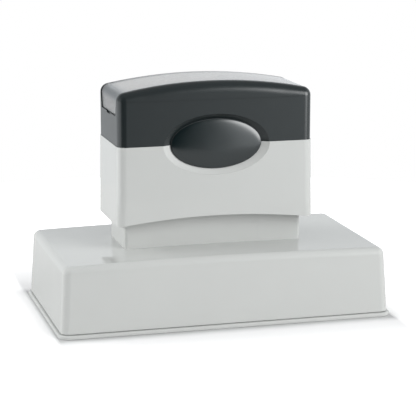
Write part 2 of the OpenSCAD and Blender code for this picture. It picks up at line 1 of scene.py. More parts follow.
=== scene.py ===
# %% [markdown]
# # A pre-inked hand stamp
# The stamp stands in a dust cover. A glossy grey skirt hides the printing die, and a grey grip
# with a charcoal cap is pressed down over a neck on two springs. A clear band over the cap
# holds an index card, and a plain black badge sits in a dished oval on the front.
# The working parts come from the CAD frame. This lesson models the shells that show, at the
# same sizes and in the same place, and gives every part a finish.

# %% Load the frame
from math import asin, cos, pi, radians, sin

import bmesh
import bpy
from mathutils import Matrix, Quaternion, Vector


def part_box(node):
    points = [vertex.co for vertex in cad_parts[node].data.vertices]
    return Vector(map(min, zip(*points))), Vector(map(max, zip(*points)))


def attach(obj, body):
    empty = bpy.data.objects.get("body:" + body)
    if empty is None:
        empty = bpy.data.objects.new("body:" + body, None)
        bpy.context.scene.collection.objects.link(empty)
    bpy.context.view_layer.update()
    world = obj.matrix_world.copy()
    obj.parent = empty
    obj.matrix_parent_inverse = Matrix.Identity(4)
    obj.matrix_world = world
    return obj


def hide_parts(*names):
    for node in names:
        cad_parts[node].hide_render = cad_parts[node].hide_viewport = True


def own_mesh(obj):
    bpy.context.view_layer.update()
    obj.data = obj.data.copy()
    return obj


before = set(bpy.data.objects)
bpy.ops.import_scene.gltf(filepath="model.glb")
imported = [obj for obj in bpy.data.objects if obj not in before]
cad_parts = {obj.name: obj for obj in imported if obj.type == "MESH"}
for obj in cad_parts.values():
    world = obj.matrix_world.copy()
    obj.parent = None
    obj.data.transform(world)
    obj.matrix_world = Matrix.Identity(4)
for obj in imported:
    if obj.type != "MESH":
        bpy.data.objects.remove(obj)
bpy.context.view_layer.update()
mm = 0.001

# %% [markdown]
# ## The camera
# The photograph looks slightly down on the stamp and from a little to its left, through a long
# lens. A camera could be placed by hand, but an orbit is easier to read: a target, a distance
# and two angles. The focal length is written in pixels of the picture and turned into the
# lens's millimetres through the sensor's width.

# %% Camera on an orbit
picture_width = 416
focal_pixels = 1678.4
sensor_width = 36
target = Vector((1.27, 0, 37.02)) * mm
orbit = 627.7 * mm
azimuth = radians(-15.33)
elevation = radians(11.9)

camera = bpy.data.objects.new("camera", bpy.data.cameras.new("camera"))
bpy.context.scene.collection.objects.link(camera)
bpy.context.scene.camera = camera
camera.data.sensor_width = sensor_width
camera.data.lens = focal_pixels * sensor_width / picture_width
away = Vector((sin(azimuth) * cos(elevation), -cos(azimuth) * cos(elevation), sin(elevation)))
camera.location = target + orbit * away
camera.rotation_euler = away.to_track_quat("Z", "Y").to_euler()
bpy.context.scene.view_settings.view_transform = "Standard"
print("camera:", [round(value, 3) for value in camera.location], "lens", round(camera.data.lens, 1))

# %% [markdown]
# ## Numbers that flow through nodes
# A finish is a small tree of nodes, and most of its nodes only add or multiply. Linking each one
# by hand hides the idea, so a class wraps a socket and overloads the arithmetic signs: writing
# `0.2 + 0.1 * grain` adds two Math nodes. Any other node comes from one method that takes
# its type, its settings and what goes into its sockets.

# %% A value on its way through the nodes
class Flow:
    """One value on its way through a node tree. Arithmetic on it adds Math nodes."""

    def __init__(self, graph, socket):
        self.graph = graph
        self.socket = socket

    def math(self, operation, first, second):
        return self.graph.node("ShaderNodeMath", {"operation": operation}, {0: first, 1: second})

    def __add__(self, other):
        return self.math("ADD", self, other)

    def __radd__(self, other):
        return self.math("ADD", other, self)

    def __sub__(self, other):
        return self.math("SUBTRACT", self, other)

    def __rsub__(self, other):
        return self.math("SUBTRACT", other, self)

    def __mul__(self, other):
        return self.math("MULTIPLY", self, other)

    def __rmul__(self, other):
        return self.math("MULTIPLY", other, self)

    def __abs__(self):
        return self.math("ABSOLUTE", self, 0.0)

# %% A tree that grows node by node
class Graph:
    """A node tree that grows by one call for each node."""

    def __init__(self, tree):
        self.tree = tree
        tree.nodes.clear()

    def node(self, kind, settings=None, sockets=None, output=0):
        made = self.tree.nodes.new(kind)
        for name, value in (settings or {}).items():
            setattr(made, name, value)
        for name, value in (sockets or {}).items():
            self.feed(made.inputs[name], value)
        return Flow(self, made.outputs[output]) if made.outputs else None

    def feed(self, socket, value):
        if isinstance(value, Flow):
            self.tree.links.new(value.socket, socket)
        else:
            socket.default_value = value

    def places(self):
        """The point on the object, in metres of the shared frame."""
        return self.node("ShaderNodeTexCoord", output="Object")

    def noise(self, size, detail=2.0):
        """Soft random patches about as wide as size, from 0 to 1."""
        return self.node("ShaderNodeTexNoise", sockets={
            "Vector": self.places(), "Scale": 1 / size, "Detail": detail})

    def streaks(self, size, stretch, detail):
        """Noise that is drawn out along the axes whose stretch is small."""
        drawn = self.node("ShaderNodeMapping", sockets={"Vector": self.places(), "Scale": stretch})
        return self.node("ShaderNodeTexNoise", sockets={
            "Vector": drawn, "Scale": 1 / size, "Detail": detail})

    def between(self, value, low, high):
        """A smooth step from 0 at low to 1 at high."""
        return self.node("ShaderNodeMapRange", {"interpolation_type": "SMOOTHSTEP"}, {
            "Value": value, "From Min": low, "From Max": high})

    def mix(self, share, first, second):
        """A colour between two colours."""
        return self.node("ShaderNodeMix", {"data_type": "RGBA"}, {
            "Factor": share, "A": first, "B": second}, output="Result")

    def split(self, vector):
        """The three numbers of a vector."""
        return [self.node("ShaderNodeSeparateXYZ", sockets={0: vector}, output=axis) for axis in "XYZ"]


print("node helpers ready")

# %% [markdown]
# ## Floor and studio light
# The stamp stands on a white sweep in soft light. An even, slightly cool world gives the fill, and
# two soft boxes give the modelling: a tall one at the front right, and a wide one at the left for
# the ends. A glossy part also mirrors the room, so the world has a second face that only mirrored
# rays see: walls that are palest on the right, a dim ceiling, a dark side behind the camera that
# opens up towards the right, a dim corner at the front left and a low patch of light on the left.
# A lamp's own edge would look cut out in a mirror or in clear plastic, so such rays pass the boxes
# by. The camera sees plain white.

# %% World with an even fill and a studio to mirror
fill_light = 0.38
fill_tint = (0.972, 1.0, 1.025, 1)
left_wall, right_wall = 0.69, 0.92
wall_turn = (-0.25, 0.25)
patch_light = 1.0
patch_sideways, patch_upward = (-0.45, -0.80), (0.12, -0.05)
dark_front, dim_front, lit_front = 0.12, 0.45, 1.60
front_turn, dim_turn, lit_turn = (-0.2, -0.8), (0.05, 0.12), (0.18, 0.44)
ceiling_share = 0.35
ceiling_turn = (0.35, 0.8)
dim_corner = Vector((-0.50, -0.86, 0.10)).normalized()
dim_share = 0.90
dim_edge = (0.60, 0.93)

world = bpy.data.worlds.new("studio")
bpy.context.scene.world = world
world.use_nodes = True
sky = Graph(world.node_tree)
ray = sky.node("ShaderNodeTexCoord", output="Generated")
sideways, backward, upward = sky.split(ray)
walls = left_wall + (right_wall - left_wall) * sky.between(sideways, *wall_turn)
patch = sky.between(sideways, *patch_sideways) * sky.between(upward, *patch_upward)
walls = walls + patch_light * patch
front = dark_front + (dim_front - dark_front) * sky.between(sideways, *dim_turn)
front = front + (lit_front - dim_front) * sky.between(sideways, *lit_turn)
in_front = sky.between(backward, *front_turn)
overhead = sky.between(upward, *ceiling_turn)
mirrored = (walls + in_front * (front - walls)) * (1 - (1 - ceiling_share) * overhead)
toward_corner = sky.node("ShaderNodeVectorMath", {"operation": "DOT_PRODUCT"}, {
    0: ray, 1: dim_corner}, output="Value")
mirrored = mirrored * (1 - dim_share * sky.between(toward_corner, *dim_edge))

glossy_ray = sky.node("ShaderNodeLightPath", output="Is Glossy Ray")
clear_ray = sky.node("ShaderNodeLightPath", output="Is Transmission Ray")
camera_ray = sky.node("ShaderNodeLightPath", output="Is Camera Ray")
level = fill_light + glossy_ray * (mirrored - fill_light)
studio = sky.node("ShaderNodeBackground", sockets={"Color": fill_tint, "Strength": level})
white = sky.node("ShaderNodeBackground", sockets={"Color": (1, 1, 1, 1), "Strength": 1.0})
shown = sky.node("ShaderNodeMixShader", sockets={0: camera_ray + clear_ray, 1: studio, 2: white})
sky.node("ShaderNodeOutputWorld", sockets={"Surface": shown})
print("world: fill", fill_light, "walls", left_wall, right_wall)

# %% Soft boxes
def soft_box(name, place, size, power):
    """An area lamp that faces the stamp, and that mirrors and clear parts don't show."""
    lamp = bpy.data.objects.new(name, bpy.data.lights.new(name, "AREA"))
    bpy.context.scene.collection.objects.link(lamp)
    lamp.data.shape = "RECTANGLE"
    lamp.data.size, lamp.data.size_y = size
    lamp.data.energy = power
    lamp.location = place
    lamp.rotation_euler = (Vector(place) - target).to_track_quat("Z", "Y").to_euler()
    lamp.visible_glossy = False
    lamp.visible_transmission = False
    print(name, power, "W")


soft_box("box_right", place=(0.53, -0.62, 0.40), size=(0.60, 0.84), power=7.75)
soft_box("box_left", place=(-0.72, 0.20, 0.28), size=(0.80, 0.50), power=6.2)

# %% [markdown]
# The cap's rolled rim and the badge carry one strong, soft highlight. It could be one more patch in
# the world, but then the pale base would mirror it too and burn out to white from behind. So it
# is an oval lamp, and light linking gives it to the dark parts alone. An area lamp ends sharply,
# so a small node tree of its own fades it out from the middle.

# %% Strip that only the dark parts mirror
strip_toward = Vector((0.70, -0.65, 0.36)).normalized()
strip_distance = 1.0
strip_size = (0.96, 1.10)
strip_lean = radians(16)
strip_light = 6.3
strip_edge = (1.0, 0.26)

strip = bpy.data.objects.new("mirrored_strip", bpy.data.lights.new("mirrored_strip", "AREA"))
bpy.context.scene.collection.objects.link(strip)
strip.data.shape = "ELLIPSE"
strip.data.size, strip.data.size_y = strip_size
strip_area = pi * strip_size[0] * strip_size[1] / 4
strip.data.energy = strip_light * pi * strip_area
strip.location = strip_toward * strip_distance
facing = strip_toward.to_track_quat("Z", "Y")
facing.rotate(Quaternion(strip_toward, strip_lean))
strip.rotation_euler = facing.to_euler()
strip.visible_camera = False
strip.visible_diffuse = False
strip.visible_transmission = False
dark_parts = bpy.data.collections.new("dark_parts")
strip.light_linking.receiver_collection = dark_parts

strip.data.use_nodes = True
fade = Graph(strip.data.node_tree)
wide, tall = fade.split(fade.node("ShaderNodeNewGeometry", output="Parametric"))[:2]
wide, tall = 2 * wide - 1, 2 * tall - 1
falloff = fade.between(wide * wide + tall * tall, *strip_edge)
emission = fade.node("ShaderNodeEmission", sockets={"Strength": falloff})
fade.node("ShaderNodeOutputLight", sockets={"Surface": emission})
print("strip", strip_size, "m at", strip_distance, "m")

# %% [markdown]
# The floor is a disc of white paper. It takes the stamp's shadow, and a glow that grows with the
# distance from the tray lifts it to white further out, as on a sweep that is lit by itself. The glow is
# painted light, and off the tray's ends it lifts the lamps' shadow within 2 mm. Close to the tray
# the paper's colour is darker, a painted contact shadow. Seen from below the disc is clear, so
# the tray's underside shows, and it lies a hair higher than that underside.

# %% Floor
floor_radius = 0.26
floor_lift = Matrix.Translation((0, 0, 0.02 * mm))
floor_mesh = bmesh.new()
bmesh.ops.create_circle(floor_mesh, cap_ends=True, segments=64, radius=floor_radius, matrix=floor_lift)
floor = bpy.data.objects.new("floor", bpy.data.meshes.new("floor"))
floor_mesh.to_mesh(floor.data)
floor_mesh.free()
bpy.context.scene.collection.objects.link(floor)
print("floor radius", floor_radius, "m")

# %% Paper with a painted contact shadow, and a glow away from the tray
foot_half = Vector((62, 35, 0)) * mm
near_glow, near_reach = 0.21, (1 * mm, 7 * mm)
wide_glow, wide_reach = 0.20, (4 * mm, 30 * mm)
far_glow, far_reach = 0.50, (28 * mm, 60 * mm)
# painted light: off the tray's ends the glow rises within 2 mm and lifts the shadow the lamps cast there
end_glow, end_reach = 0.27, (0.0, 2 * mm)
mirror_share = 0.1
# painted contact shadow: the paper's colour is darker within 3.5 mm of the tray
painted_shadow_reach, painted_shadow_end_reach = (0.0, 3.5 * mm), (0.0, 0.4 * mm)
painted_contact_shadow_grey, paper_white = (0.58, 0.58, 0.58, 1), (0.77, 0.77, 0.77, 1)
bounce_grey = (0.62, 0.62, 0.62, 1)

sweep_paper = bpy.data.materials.new("white_sweep")
sweep_paper.use_nodes = True
sweep = Graph(sweep_paper.node_tree)
spread = sweep.node("ShaderNodeVectorMath", {"operation": "ABSOLUTE"}, {0: sweep.places()})
spread = sweep.node("ShaderNodeVectorMath", {"operation": "SUBTRACT"}, {0: spread, 1: foot_half})
spread = sweep.node("ShaderNodeVectorMath", {"operation": "MAXIMUM"}, {0: spread, 1: (0, 0, 0)})
distance = sweep.node("ShaderNodeVectorMath", {"operation": "LENGTH"}, {0: spread}, output="Value")
endways = sweep.split(spread)[0]
glow = near_glow * sweep.between(distance, *near_reach) + wide_glow * sweep.between(distance, *wide_reach)
glow = glow + far_glow * sweep.between(distance, *far_reach) + end_glow * sweep.between(endways, *end_reach)
shows = sweep.node("ShaderNodeLightPath", output="Is Camera Ray")
mirrors = sweep.node("ShaderNodeLightPath", output="Is Glossy Ray")
through = sweep.node("ShaderNodeLightPath", output="Is Transmission Ray")
lift = (shows + through + mirror_share * mirrors) * glow
# painted contact shadow: 0 at the tray, 1 clear of it
clear_of_painted_shadow = sweep.between(distance, *painted_shadow_reach) + sweep.between(endways, *painted_shadow_end_reach)
paper_and_painted_shadow = sweep.mix(clear_of_painted_shadow, painted_contact_shadow_grey, paper_white)
underneath = sweep.node("ShaderNodeNewGeometry", output="Backfacing")
surface = sweep.node("ShaderNodeBsdfPrincipled", sockets={
    "Base Color": sweep.mix(shows, bounce_grey, paper_and_painted_shadow),
    "Roughness": 1.0, "Specular IOR Level": 0.0, "Alpha": 1 - underneath,
    "Emission Color": sweep.mix(lift, (0, 0, 0, 1), (1, 1, 1, 1)), "Emission Strength": 1.0})
sweep.node("ShaderNodeOutputMaterial", sockets={"Surface": surface})
floor.data.materials.append(sweep_paper)
print("paper:", sweep_paper.name)

# %% [markdown]
# ## Moulded plastic
# Every shell is moulded plastic. Its colour is almost even, but not quite: pigment flows in faint
# clouds, polish changes from patch to patch, and the tool leaves a fine grain. Three sizes
# of noise on the object's own coordinates give all that, so no picture is needed and
# the pattern stays put when a part moves.

# %% Plastic finishes
def finish(name, draw):
    """A material whose surface comes from a function that draws it on an empty tree."""
    material = bpy.data.materials.new(name)
    material.use_nodes = True
    graph = Graph(material.node_tree)
    graph.node("ShaderNodeOutputMaterial", sockets={"Surface": draw(graph)})
    return material


def shade(colour, share):
    """The same colour, lighter or darker."""
    return (*(value * share for value in colour), 1)


cloud_size, patch_size, grain_size = 18 * mm, 2.5 * mm, 0.22 * mm


def moulded_plastic(name, colour, polish, grain_depth, clouds=0.02):
    """Pigmented plastic: faint clouds of colour, patchy polish and a fine tool grain."""

    def draw(graph):
        flow = graph.noise(cloud_size, 3)
        patches = graph.noise(patch_size, 4)
        grain = graph.noise(grain_size, 3)
        bump = graph.node("ShaderNodeBump", sockets={
            "Strength": 1.0, "Distance": grain_depth, "Height": grain})
        return graph.node("ShaderNodeBsdfPrincipled", sockets={
            "Base Color": graph.mix(flow, shade(colour, 1 - clouds), shade(colour, 1 + clouds)),
            "Roughness": polish * (0.85 + 0.3 * patches),
            "Normal": bump,
            "IOR": 1.5})

    return finish(name, draw)


grey_gloss = moulded_plastic("grey_gloss", (0.555, 0.565, 0.550), polish=0.03, grain_depth=0.0001 * mm)
charcoal_satin = moulded_plastic("charcoal_satin", (0.016, 0.021, 0.022), polish=0.22,
                                 grain_depth=0.0012 * mm)
print("plastics:", grey_gloss.name, charcoal_satin.name)

# %% [markdown]
# ## Shaping helpers
# Each shell starts as a box, gets its lean, and has its edges rolled with a bevel. Larger cuts,
# such as a hollow or an oval dish, are made the way a toolmaker would: a second shape
# is joined to the first or cut away from it with a Boolean. The tool shape is thrown away at once,
# so only the finished mesh stays.

# %% Boxes and rods
def box_mesh(low, high, lean=(0, 0)):
    """A box between two corners whose top leans in by a distance at its ends and sides."""
    bm = bmesh.new()
    low, high = Vector(low), Vector(high)
    size = high - low
    bmesh.ops.create_cube(bm, size=1)
    bmesh.ops.scale(bm, vec=size, verts=bm.verts)
    top = [vert for vert in bm.verts if vert.co.z > 0]
    bmesh.ops.scale(bm, vec=(1 - 2 * lean[0] / size.x, 1 - 2 * lean[1] / size.y, 1), verts=top)
    bmesh.ops.translate(bm, vec=(low + high) / 2, verts=bm.verts)
    return bm


def middle_box(half, low, high, lean=(0, 0)):
    """A box about the middle of the stamp, from its half sizes and two heights."""
    return box_mesh((-half.x, -half.y, low), (half.x, half.y, high), lean)


def inward(half, distance):
    """Half sizes made smaller all round by a distance."""
    return half - Vector((distance, distance, 0))


def rod_mesh(place, radius, low, high, sides=48):
    """An upright cylinder between two heights."""
    bm = bmesh.new()
    middle = Matrix.Translation((place[0], place[1], (low + high) / 2))
    bmesh.ops.create_cone(bm, cap_ends=True, segments=sides, radius1=radius, radius2=radius,
                          depth=high - low, matrix=middle)
    return bm

# %% Rolled edges and slices
def upright(edge):
    """True for an edge that runs nearly straight up."""
    run = edge.verts[1].co - edge.verts[0].co
    return abs(run.z) > 0.9 * run.length


def level_at(edge, height):
    """True for an edge that lies level at a height."""
    return all(abs(vert.co.z - height) < 0.01 * mm for vert in edge.verts)


def roll(bm, edges, radius, segments):
    """Rounds edges with a bevel of circular profile."""
    bmesh.ops.bevel(bm, geom=edges, offset=radius, segments=segments, profile=0.5,
                    affect="EDGES", clamp_overlap=True, material=-1)


def roll_upright(bm, radius, segments):
    """Rounds the upright edges."""
    roll(bm, [edge for edge in bm.edges if upright(edge)], radius, segments)


def roll_level(bm, height, radius, segments):
    """Rounds the level edges at a height."""
    roll(bm, [edge for edge in bm.edges if level_at(edge, height)], radius, segments)


def slice_along(bm, axis, places):
    """Adds rows of edges across a mesh at places along an axis, so that it can bend there."""
    for place in places:
        geom = bm.verts[:] + bm.edges[:] + bm.faces[:]
        bmesh.ops.bisect_plane(bm, geom=geom, dist=0.001 * mm, plane_co=axis * place, plane_no=axis)

# %% Pieces that are joined and cut
def stand(name, bm):
    """Turns a bmesh into an object at the origin."""
    bmesh.ops.recalc_face_normals(bm, faces=bm.faces)
    piece = bpy.data.objects.new(name, bpy.data.meshes.new(name))
    bm.to_mesh(piece.data)
    bm.free()
    bpy.context.scene.collection.objects.link(piece)
    return piece


def settle(piece):
    """Makes what a piece's modifiers show its own mesh."""
    depsgraph = bpy.context.evaluated_depsgraph_get()
    solid = bpy.data.meshes.new_from_object(piece.evaluated_get(depsgraph))
    piece.modifiers.clear()
    piece.data = solid


def work(piece, bm, operation):
    """Joins (UNION) a tool shape to a piece, or cuts (DIFFERENCE) it away."""
    tool = stand("tool", bm)
    change = piece.modifiers.new("work", "BOOLEAN")
    change.operation = operation
    change.solver = "EXACT"
    change.object = tool
    settle(piece)
    bpy.data.objects.remove(tool)


def join(piece, bm):
    work(piece, bm, "UNION")


def cut(piece, bm):
    work(piece, bm, "DIFFERENCE")

# %% What a finished piece gets
crease = radians(28)


def show(piece, body, material, slot, *nodes):
    """Gives a finished piece its place in the frame, its material and clean shading."""
    piece.data.materials.clear()
    piece.data.materials.append(material)
    piece.data.shade_smooth()
    piece.data.set_sharp_from_angle(angle=crease)
    even = piece.modifiers.new("even_shading", "WEIGHTED_NORMAL")
    even.keep_sharp = True
    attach(piece, body)
    if nodes:
        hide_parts(*nodes)
    print(piece.name, len(piece.data.polygons), "faces on", body)


def verts_of(geom):
    """The vertices among what an operator made."""
    return [part for part in geom if isinstance(part, bmesh.types.BMVert)]


def edges_of(geom):
    """The edges among what an operator made."""
    return [part for part in geom if isinstance(part, bmesh.types.BMEdge)]


X, Y, Z = Vector((1, 0, 0)), Vector((0, 1, 0)), Vector((0, 0, 1))
print("shaping helpers ready")

# %% [markdown]
# ## The skirted base
# The base is one glossy moulding: a leaning skirt with a slightly crowned top and a neck that the
# grip slides over. The crown is only 0.8 mm, but it bends the mirror image of the
# neck, so it is worth slicing the box across and lifting the slices. The inside is hollow, with
# a floor in the neck that lets the stem and the two guide bushes through.

# %% Skirt with a rolled, crowned top
skirt_low, skirt_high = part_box("base_skirt")
neck_top = skirt_high.z
skirt_height = 23.7 * mm
base_top = skirt_low.z + skirt_height
end_lean, side_lean = 1.35 * mm, 1.0 * mm
base_corner = 3.0 * mm
edge_roll = 2.45 * mm
crown = 0.8 * mm
half_len = skirt_high.x - end_lean

bm = box_mesh(skirt_low, (skirt_high.x, skirt_high.y, base_top), lean=(end_lean, side_lean))
roll_upright(bm, base_corner, 8)
roll_level(bm, base_top, edge_roll, 8)
crown_steps = 24
slice_along(bm, X, [half_len * (2 * step / crown_steps - 1) for step in range(1, crown_steps)])
for vert in bm.verts:
    rise = (vert.co.z - skirt_low.z) / skirt_height
    vert.co.z += crown * rise * (1 - min(1, abs(vert.co.x) / half_len) ** 2)
base = stand("base_moulding", bm)
print("skirt", len(base.data.polygons), "faces")

# %% Neck, hollows and bores
neck_half = Vector((33.35, 12.25, 0)) * mm
neck_wall = 2 * mm
neck_roll, mouth_roll = 1.2 * mm, 0.3 * mm
skirt_wall = 2.2 * mm
top_wall = 2.5 * mm
base_under = base_top - top_wall
past = 0.5 * mm

bm = middle_box(neck_half, base_under, neck_top)
roll_upright(bm, neck_roll, 6)
roll_level(bm, neck_top, mouth_roll, 2)
join(base, bm)

hollow = inward(skirt_high, skirt_wall)
bm = middle_box(hollow, skirt_low.z - past, base_under, lean=(end_lean, side_lean))
roll_upright(bm, edge_roll / 2, 4)
cut(base, bm)

cut(base, middle_box(inward(neck_half, neck_wall), base_top, neck_top + past))
slot_half = Vector((14.3, 8.8, 0)) * mm
cut(base, middle_box(slot_half, base_under - past, base_top + past))

pin_place = 22 * mm
bush_radius = 4.33 * mm
for side in (-1, 1):
    cut(base, rod_mesh((side * pin_place, 0), bush_radius, base_under - past, base_top + past))

panel_half = 17 * mm
panel_deep = 0.10 * mm
panel_slope = 0.20 * mm
panel_low = base_top + crown
for side in (-1, 1):
    face = side * neck_half.y
    bm = box_mesh((-panel_half, face - panel_deep, panel_low),
                  (panel_half, face + panel_deep, neck_top + past))
    sunk = [vert for vert in bm.verts if abs(vert.co.y) < neck_half.y]
    proud = [vert for vert in bm.verts if abs(vert.co.y) > neck_half.y]
    bmesh.ops.scale(bm, vec=(1 - panel_slope / panel_half, 1, 1), verts=sunk)
    bmesh.ops.scale(bm, vec=(1 + panel_slope / panel_half, 1, 1), verts=proud)
    cut(base, bm)

show(base, "base", grey_gloss, "grey_plastic", "base_skirt")

# %% [markdown]
# ## The dust cover
# The cover is a shallow tray that the skirt stands on. Its rim shows as a thin line round the foot,
# with a shadow gap above it, and a plug wall inside holds the stamp. It could be pulled up from one
# face by inset and extrude, but an inset wider than a corner's radius turns the corner inside out,
# so three rounded slabs are joined and a rounded hollow is cut from them.

# %% Tray of rounded slabs
def slab_mesh(half, low, high, corner, segments=8):
    """A slab between two heights with round upright corners."""
    bm = middle_box(half, low, high)
    roll_upright(bm, corner, segments)
    return bm


tray_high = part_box("dust_cover")[1]
rim_height = 1.5 * mm
rim_corner = 4.0 * mm
rim_roll = 0.45 * mm
ledge_step = 1.7 * mm
plug_step = 1.99 * mm
plug_corner = 3.0 * mm
plug_wall = 1.2 * mm
tray_floor = 1.2 * mm

bm = slab_mesh(tray_high, 0, rim_height, rim_corner)
roll(bm, [edge for edge in bm.edges if level_at(edge, rim_height) or level_at(edge, 0)], rim_roll, 4)
tray = stand("cover_tray", bm)
ledge = inward(tray_high, ledge_step)
plug = inward(ledge, plug_step)
join(tray, slab_mesh(ledge, rim_height / 2, skirt_low.z, plug_corner))
join(tray, slab_mesh(plug, rim_height / 2, tray_high.z, plug_corner))
hollow_corner = plug_corner - plug_wall / 2
cut(tray, slab_mesh(inward(plug, plug_wall), tray_floor, tray_high.z + past, hollow_corner))
show(tray, "dust_cover", grey_gloss, "cover_plastic", "dust_cover")

# %% [markdown]
# ## The badge's dish
# Grip and cap share one oval dish on the front, cut across their seam. A circle is stretched to the
# floor's oval and extruded outwards in steps, each one wider than the last, which
# gives a flared wall that is soft at its lip. The same tool then cuts both parts.

# %% Flared oval cutter
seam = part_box("handle_shell")[1].z
face_y = -17.08 * mm
badge_half = Vector((17, 9.1, 0)) * mm
floor_gap = 0.05 * mm
flare = Vector((2.9, 2.0, 0)) * mm
dish_deep = 1.7 * mm
wall_deep, wall_lean, wall_swell = 1.55 * mm, 0.10 * mm, 0.2
flare_steps = (0.0, 0.25, 0.5, 0.7, 0.85, 1.0, 1.1)
dish_sides = 96


def dish_mesh():
    """The oval dish as a solid, with its floor inside the grip and its mouth in front of it."""
    bm = bmesh.new()
    ring = bmesh.ops.create_circle(bm, cap_ends=False, segments=dish_sides, radius=1)["verts"]
    bmesh.ops.rotate(bm, verts=ring, matrix=Matrix.Rotation(pi / 2, 3, "X"))
    floor_half = badge_half + Vector((floor_gap, floor_gap, 0))
    bmesh.ops.scale(bm, vec=(floor_half.x, 1, floor_half.y), verts=ring)
    bmesh.ops.translate(bm, vec=(0, face_y + dish_deep, seam), verts=ring)
    edges = bm.edges[:]
    bmesh.ops.edgeloop_fill(bm, edges=edges)
    old = 0
    for share in flare_steps:
        made = bmesh.ops.extrude_edge_only(bm, edges=edges)["geom"]
        ring, edges = verts_of(made), edges_of(made)
        was, now = floor_half + flare * old, floor_half + flare * share
        bmesh.ops.scale(bm, vec=(now.x / was.x, 1, now.y / was.y), verts=ring,
                        space=Matrix.Translation((0, 0, -seam)))
        for vert in ring:
            wall = wall_deep + wall_lean * (vert.co.z - seam) / now.y
            deep = wall * max(0, 1 - share) * (1 + wall_swell * share)
            vert.co.y = face_y + (deep if share <= 1 else -past)
        old = share
    bmesh.ops.edgeloop_fill(bm, edges=edges)
    return bm


print("dish", round(2 * (badge_half.x + floor_gap + flare.x) / mm, 1), "mm wide")

# %% [markdown]
# ## The grip's shell
# The grey half of the grip is a leaning box with round corners and an arched lower edge, open above
# and below a deck that carries the springs and the pins. The arch comes from slicing the box
# across and lifting the lower edge. Inside, ribs run down the walls and slide on the neck.

# %% Outer form with its arched lower edge
grip_low, grip_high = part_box("handle_shell")
grip_lean = 0.37 * mm
grip_corner = 3.2 * mm
arch_rise = 2.7 * mm

bm = box_mesh(grip_low, grip_high, lean=(grip_lean, grip_lean))
roll_upright(bm, grip_corner, 10)
arch_steps = 36
slice_along(bm, X, [grip_high.x * (2 * step / arch_steps - 1) for step in range(1, arch_steps)])
for vert in bm.verts:
    if vert.co.z < grip_low.z + past:
        vert.co.z += arch_rise * (1 - (vert.co.x / grip_high.x) ** 2)
grip = stand("grip_shell", bm)
print("grip", len(grip.data.polygons), "faces")

# %% Deck, ribs and the dish
shell_wall = 2.4 * mm
deck_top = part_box("lock_nut_left")[0].z
deck_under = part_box("stem")[1].z
inner = inward(grip_high, shell_wall)
cut(grip, middle_box(inner, grip_low.z - past, deck_under, lean=(grip_lean, grip_lean)))
upper = inward(inner, grip_lean)
cut(grip, middle_box(upper, deck_top, seam + past))

rib_wide = 1.6 * mm
rib_clear = 0.3 * mm
rib_low = grip_low.z + arch_rise + rib_wide
rib_pitch, end_rib_pitch = 17 * mm, 12 * mm
rib_spots = [(step * rib_pitch, side, "side") for step in (-1.5, -0.5, 0.5, 1.5) for side in (-1, 1)]
rib_spots += [(step * end_rib_pitch, side, "end") for step in (-0.5, 0.5) for side in (-1, 1)]
for spot, side, where in rib_spots:
    if where == "side":
        near, far = sorted((side * (neck_half.y + rib_clear), side * (inner.y + shell_wall / 2)))
        low, high = (spot - rib_wide / 2, near), (spot + rib_wide / 2, far)
    else:
        near, far = sorted((side * (neck_half.x + rib_clear), side * (inner.x + shell_wall / 2)))
        low, high = (near, spot - rib_wide / 2), (far, spot + rib_wide / 2)
    join(grip, box_mesh((*low, rib_low), (*high, deck_under + past)))

pin_radius = 2.53 * mm
seat_radius = 3.8 * mm
seat_height = 3 * mm
ink_place, ink_radius = 4.5 * mm, 2 * mm
screw_place, screw_radius = 10.8 * mm, 1.43 * mm
bores = ((pin_place, pin_radius), (ink_place, ink_radius), (screw_place, screw_radius))
seat_under = deck_under - seat_height
for side in (-1, 1):
    join(grip, rod_mesh((side * pin_place, 0), seat_radius, seat_under, deck_under + past))
    for place, radius in bores:
        cut(grip, rod_mesh((side * place, 0), radius, seat_under - past, deck_top + past))
cut(grip, dish_mesh())
show(grip, "handle", grey_gloss, "grey_plastic", "handle_shell")

# %% [markdown]
# ## The charcoal cap
# Seen from the front, the cap is an arch that rolls over into straight ends. That outline is drawn by
# spinning one vertex: round the left corner, along the wide arch and round the right
# corner. Extruding it gives a block, and a weighted bevel rolls its front and back: 4 mm over the top,
# easing to 3.15 mm down the corners.

# %% Outline of the cap by spinning a vertex
window_low, window_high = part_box("index_window")
crown_z = window_high.z
cap_half = window_high.x
arch_radius = 175 * mm
end_radius = 3.2 * mm
least_radius = 0.4 * mm
corner_steps, arch_line_steps = 12, 40
arch_middle = crown_z - arch_radius


def corner_of(inset):
    """Radius, middle and turn of the outline's round corner when it is set in by a distance."""
    radius = max(end_radius - inset, least_radius)
    x = cap_half - inset - radius
    reach = arch_radius - inset - radius
    turn = asin(x / reach)
    return radius, x, arch_middle + reach * cos(turn), turn


def cap_line(bm, inset, foot):
    """Draws the cap's outline as a chain of edges, set in by a distance and open at its foot."""
    radius, x, z, turn = corner_of(inset)
    start = bm.verts.new((-x - radius, 0, foot))
    last = bmesh.ops.extrude_vert_indiv(bm, verts=[start])["verts"]
    bmesh.ops.translate(bm, verts=last, vec=(0, 0, z - foot))
    left = ((-x, 0, z), pi / 2 - turn, corner_steps)
    arch = ((0, 0, arch_middle), 2 * turn, arch_line_steps)
    right = ((x, 0, z), pi / 2 - turn, corner_steps)
    for middle, angle, steps in (left, arch, right):
        last = bmesh.ops.spin(bm, geom=last, cent=middle, axis=Y, angle=angle, steps=steps)["geom_last"]
    end = bmesh.ops.extrude_vert_indiv(bm, verts=last)["verts"]
    bmesh.ops.translate(bm, verts=end, vec=(0, 0, foot - z))
    return start, end[0]


